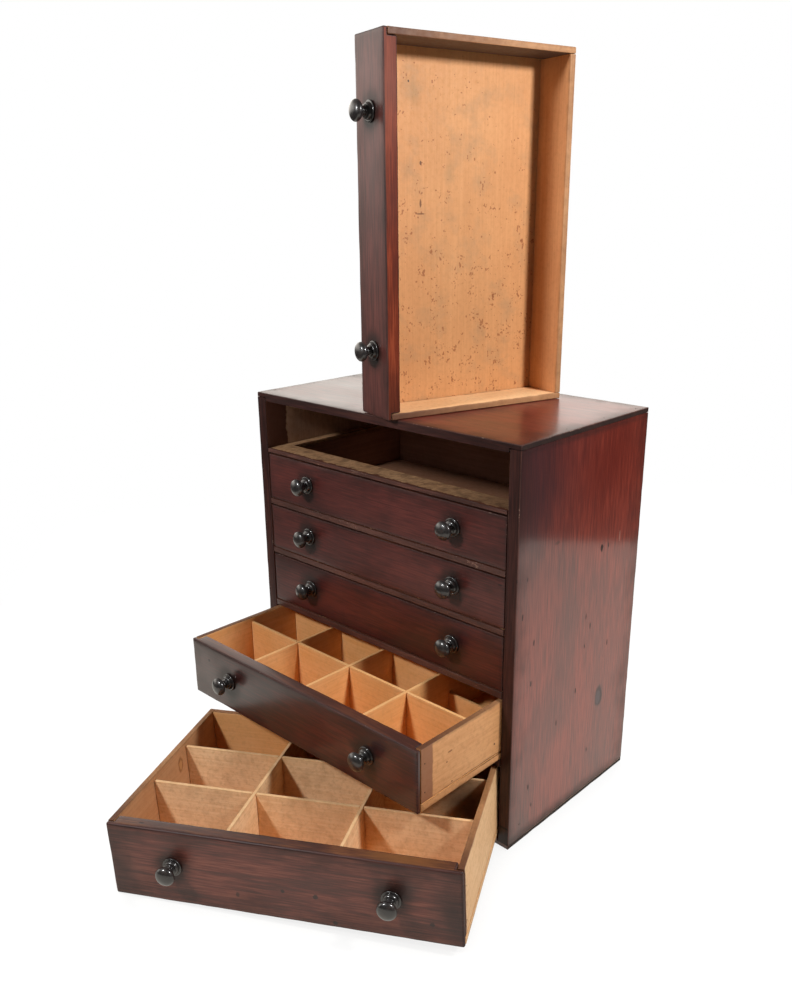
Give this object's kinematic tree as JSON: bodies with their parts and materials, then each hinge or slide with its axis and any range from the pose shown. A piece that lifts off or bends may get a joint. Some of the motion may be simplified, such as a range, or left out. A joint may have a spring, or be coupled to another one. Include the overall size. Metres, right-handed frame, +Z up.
{
  "type": "collectors cabinet",
  "caption": "Table-top wooden cabinet of shallow drawers with turned knobs, shown with drawers closed, pulled out, lying askew and standing on its top; deep drawers are divided by slats.",
  "frame": {"origin": "centre of the carcass's underside, on the surface it stands on", "axes": "+Z up, +X to the cabinet's right as seen from the front, -Y out of the front"},
  "size_m": [0.3842, 0.4669, 0.6853],
  "materials": {
    "mahogany_stain": "mahogany-stained pine, varnished, worn",
    "pine": "bare pine, aged",
    "ebonised_wood": "ebonised and polished"
  },
  "bodies": {
    "carcass": {"back_panel": "pine", "bottom_board": "mahogany_stain", "drawer_frame_1": "pine", "drawer_frame_2": "pine", "drawer_frame_3": "pine", "drawer_frame_4": "pine", "drawer_frame_5": "pine", "left_side": "mahogany_stain", "right_side": "mahogany_stain", "top_board": "mahogany_stain"},
    "drawer_1": {"drawer_1_back": "pine", "drawer_1_bottom": "pine", "drawer_1_front": "mahogany_stain", "drawer_1_left_knob": "ebonised_wood", "drawer_1_left_side": "pine", "drawer_1_right_knob": "ebonised_wood", "drawer_1_right_side": "pine"},
    "drawer_2": {"drawer_2_bottom_and_back": "pine", "drawer_2_front": "mahogany_stain", "drawer_2_left_knob": "ebonised_wood", "drawer_2_left_side": "pine", "drawer_2_right_knob": "ebonised_wood", "drawer_2_right_side": "pine"},
    "drawer_3": {"drawer_3_bottom_and_back": "pine", "drawer_3_front": "mahogany_stain", "drawer_3_left_knob": "ebonised_wood", "drawer_3_left_side": "pine", "drawer_3_right_knob": "ebonised_wood", "drawer_3_right_side": "pine"},
    "drawer_4": {"drawer_4_bottom_and_back": "pine", "drawer_4_front": "mahogany_stain", "drawer_4_left_knob": "ebonised_wood", "drawer_4_left_side": "pine", "drawer_4_right_knob": "ebonised_wood", "drawer_4_right_side": "pine"},
    "drawer_5": {"drawer_5_back": "pine", "drawer_5_bottom": "pine", "drawer_5_cross_slat_1": "pine", "drawer_5_cross_slat_2": "pine", "drawer_5_cross_slat_3": "pine", "drawer_5_front": "mahogany_stain", "drawer_5_left_knob": "ebonised_wood", "drawer_5_left_side": "pine", "drawer_5_long_slat_1": "pine", "drawer_5_long_slat_2": "pine", "drawer_5_right_knob": "ebonised_wood", "drawer_5_right_side": "pine"},
    "drawer_6": {"drawer_6_back": "pine", "drawer_6_bottom": "pine", "drawer_6_cross_slat_1": "pine", "drawer_6_cross_slat_2": "pine", "drawer_6_front": "mahogany_stain", "drawer_6_left_knob": "ebonised_wood", "drawer_6_left_side": "pine", "drawer_6_long_slat_1": "pine", "drawer_6_long_slat_2": "pine", "drawer_6_right_knob": "ebonised_wood", "drawer_6_right_side": "pine"}
  },
  "joints": [
    {"name": "drawer_1_lift", "type": "slide", "parent": "carcass", "child": "drawer_1", "axis": [0, 0, 1], "range_m": [0, 0.25]},
    {"name": "drawer_2_slide", "type": "slide", "parent": "carcass", "child": "drawer_2", "axis": [0, -1, 0], "range_m": [0, 0.15]},
    {"name": "drawer_3_slide", "type": "slide", "parent": "carcass", "child": "drawer_3", "axis": [0, -1, 0], "range_m": [0, 0.15]},
    {"name": "drawer_4_slide", "type": "slide", "parent": "carcass", "child": "drawer_4", "axis": [0, -1, 0], "range_m": [0, 0.15]},
    {"name": "drawer_5_slide", "type": "slide", "parent": "carcass", "child": "drawer_5", "axis": [0, -1, 0], "range_m": [-0.108, 0.042]},
    {"name": "drawer_6_draw", "type": "slide", "parent": "carcass", "child": "drawer_6", "axis": [0.4695, -0.8829, 0], "range_m": [0, 0.1]}
  ]
}
